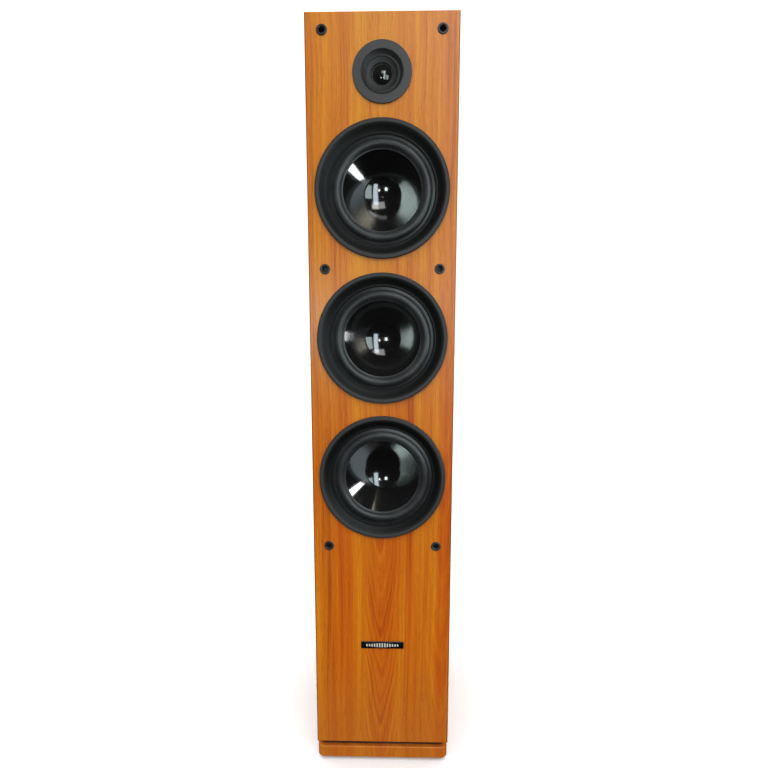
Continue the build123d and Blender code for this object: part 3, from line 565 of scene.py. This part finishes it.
def badge_bars(finish):
    """Row of slim raised bars on the badge, with softened edges."""
    low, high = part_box("name_badge")
    middle = (low + high) / 2
    count, reach, width, height, proud = 13, 0.72, 0.0022, 0.0066, 0.00015
    shape = bmesh.new()
    for n in range(count):
        share = 2.0 * n / (count - 1) - 1.0
        tall = height * (0.55 + 0.45 * cos(share * pi * 0.5) ** 2)
        made = bmesh.ops.create_cube(shape, size=1.0)["verts"]
        bmesh.ops.scale(shape, verts=made, vec=(width, proud * 2, tall))
        along = middle.x + share * reach * (high.x - middle.x)
        bmesh.ops.translate(shape, verts=made, vec=(along, low.y, middle.z))
    bmesh.ops.bevel(shape, geom=shape.edges[:], offset=0.00007, segments=2, affect="EDGES", profile=0.5)
    mesh = bpy.data.meshes.new("badge_bars")
    shape.to_mesh(mesh)
    shape.free()
    bars = make_object("badge_bars", mesh, finish)
    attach(bars, "root")


def dress(finish, *names):
    """Gives CAD pieces their finish."""
    for name in names:
        mesh = NODES[name].data
        mesh.materials.clear()
        mesh.materials.append(finish)


def dress_cabinet():
    upright = cherry_vinyl("cherry_vinyl_upright", "front", HALF_WIDTH)
    dress(upright, "front_baffle", "plinth")
    side = cherry_vinyl("cherry_vinyl_side", "side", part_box("side_panel_left")[1].y)
    dress(side, "side_panel_left", "side_panel_right")
    dress(cherry_vinyl("cherry_vinyl_top", "top", HALF_WIDTH), "top_panel")
    # Painted shade: the riser is wood sitting in the shade of the recess under the cabinet, painted as a
    # dark brown.
    dress(moulded("riser_painted_shade", (0.050, 0.016, 0.006), 0.5), "plinth_riser")
    dress(painted_board("black_board", (0.012, 0.012, 0.012)), "rear_panel", "bottom_panel")
    raw = painted_board("bare_board", (0.36, 0.24, 0.13))
    dress(raw, "window_braces")
    dress(moulded("foot_rubber", (0.012, 0.012, 0.012), 0.75), "rubber_feet")
    dress(metal("blackened_steel", (0.05, 0.05, 0.05), 0.35), "base_screws", "driver_screws")
    dress(moulded("socket_plastic", (0.022, 0.024, 0.024), 0.42), "grille_cups")


def dress_woofers():
    rubber = moulded("roll_rubber", (0.016, 0.018, 0.020), 0.42)
    lacquer = {"Specular_IOR_Level": 0.9, "Coat_Weight": 1.0, "Coat_Roughness": 0.08}
    gloss = polished("cone_gloss", (0.006, 0.006, 0.006), 0.10, **lacquer)
    copper = metal("copper_winding", (0.72, 0.33, 0.16), 0.3)
    cloth = moulded("spider_cloth", (0.42, 0.27, 0.07), 0.8, 700.0, 0.0002)
    frame_paint = moulded("frame_paint", (0.015, 0.015, 0.015), 0.5)
    # Painted light on the trim rings: a dark painted shade down the bowl and a lighter painted highlight on
    # the rounded outer lip.
    bowl_painted_shade = ((0.060, 0.010), (0.077, 0.004), (0.084, 0.003))
    lip_painted_highlight = ((0.0870, 0.012), (0.0895, 0.042), (0.0942, 0.030))
    painted_light_tones = bowl_painted_shade + lip_painted_highlight
    for place in WOOFERS:
        height = middle_of(f"woofer_{place}_trim_ring").z
        trim = turned_rubber(f"trim_rubber_{place}", height, painted_light_tones, 0.46, Specular_IOR_Level=0.22)
        dress(trim, f"woofer_{place}_trim_ring")
        woofer_roll(place, rubber)
        cloth_spider(place, cloth)
        dress(gloss, f"woofer_{place}_cone", f"woofer_{place}_dust_cap")
        dress(copper, f"woofer_{place}_voice_coil")
        dress(frame_paint, f"woofer_{place}_basket")
    dress(rubber, "woofer_gaskets")
    dress(moulded("ferrite", (0.03, 0.03, 0.033), 0.6), "woofer_magnets", "tweeter_magnet")
    dress(metal("zinc_steel", (0.62, 0.62, 0.64), 0.3), "woofer_motor_steel", "tweeter_motor_steel")
    dress(metal("tinned_brass", (0.72, 0.58, 0.28), 0.3), "woofer_terminals", "tweeter_terminals")
    dress(copper, "tweeter_voice_coil")


def dress_tweeter():
    # Painted shade on the faceplate: dark down the waveguide towards the dome, lighter on the flat flange.
    painted_light_tones = ((0.012, 0.008), (0.022, 0.012), (0.0275, 0.018), (0.0289, 0.048), (0.045, 0.050))
    height = middle_of("tweeter_faceplate").z
    plate = turned_rubber("faceplate_plastic", height, painted_light_tones, 0.42, Specular_IOR_Level=0.35)
    dress(plate, "tweeter_cover", "tweeter_faceplate")
    dress(polished("dome_gloss", (0.008, 0.009, 0.008), 0.12, Coat_Weight=1.0), "tweeter_dome")
    tweeter_roll(moulded("dome_roll", (0.03, 0.032, 0.03), 0.5))


def dress_rear():
    black = moulded("rear_plastic", (0.014, 0.014, 0.014), 0.45, 1300.0, 0.0001)
    gold = metal("gold_plate", (0.90, 0.62, 0.22), 0.18)
    dress(black, "reflex_port", "terminal_cup")
    dress(gold, "binding_posts", "post_washer_black", "post_washer_red")
    dress(moulded("cap_black", (0.012, 0.012, 0.012), 0.35), "post_cap_black")
    dress(moulded("cap_red", (0.42, 0.012, 0.012), 0.35), "post_cap_red")


def dress_inside():
    dress(moulded("circuit_board", (0.02, 0.12, 0.05), 0.4), "crossover_board")
    dress(metal("choke_copper", (0.72, 0.33, 0.16), 0.35, 400.0), "crossover_chokes")
    dress(polished("film_wrap", (0.45, 0.30, 0.05), 0.3), "crossover_capacitors")
    dress(moulded("ceramic_body", (0.72, 0.70, 0.64), 0.7), "crossover_resistors")
    dress(moulded("lead_sheath", (0.35, 0.02, 0.02), 0.4), "wiring")
    wadding(moulded("fibre_wadding", (0.80, 0.80, 0.76), 0.95, 500.0, 0.001))
    dress(polished("badge_plate", (0.004, 0.004, 0.004), 0.12, Coat_Weight=0.6), "name_badge")
    # Painted reflection: the silver bars are painted a light grey that stands in for the bright reflection
    # of their metal.
    badge_bars(moulded("badge_bars_painted_reflection", (0.62, 0.62, 0.60), 0.35))


set_camera()
studio_floor()
light_studio()
dress_cabinet()
dress_woofers()
dress_tweeter()
dress_rear()
dress_inside()
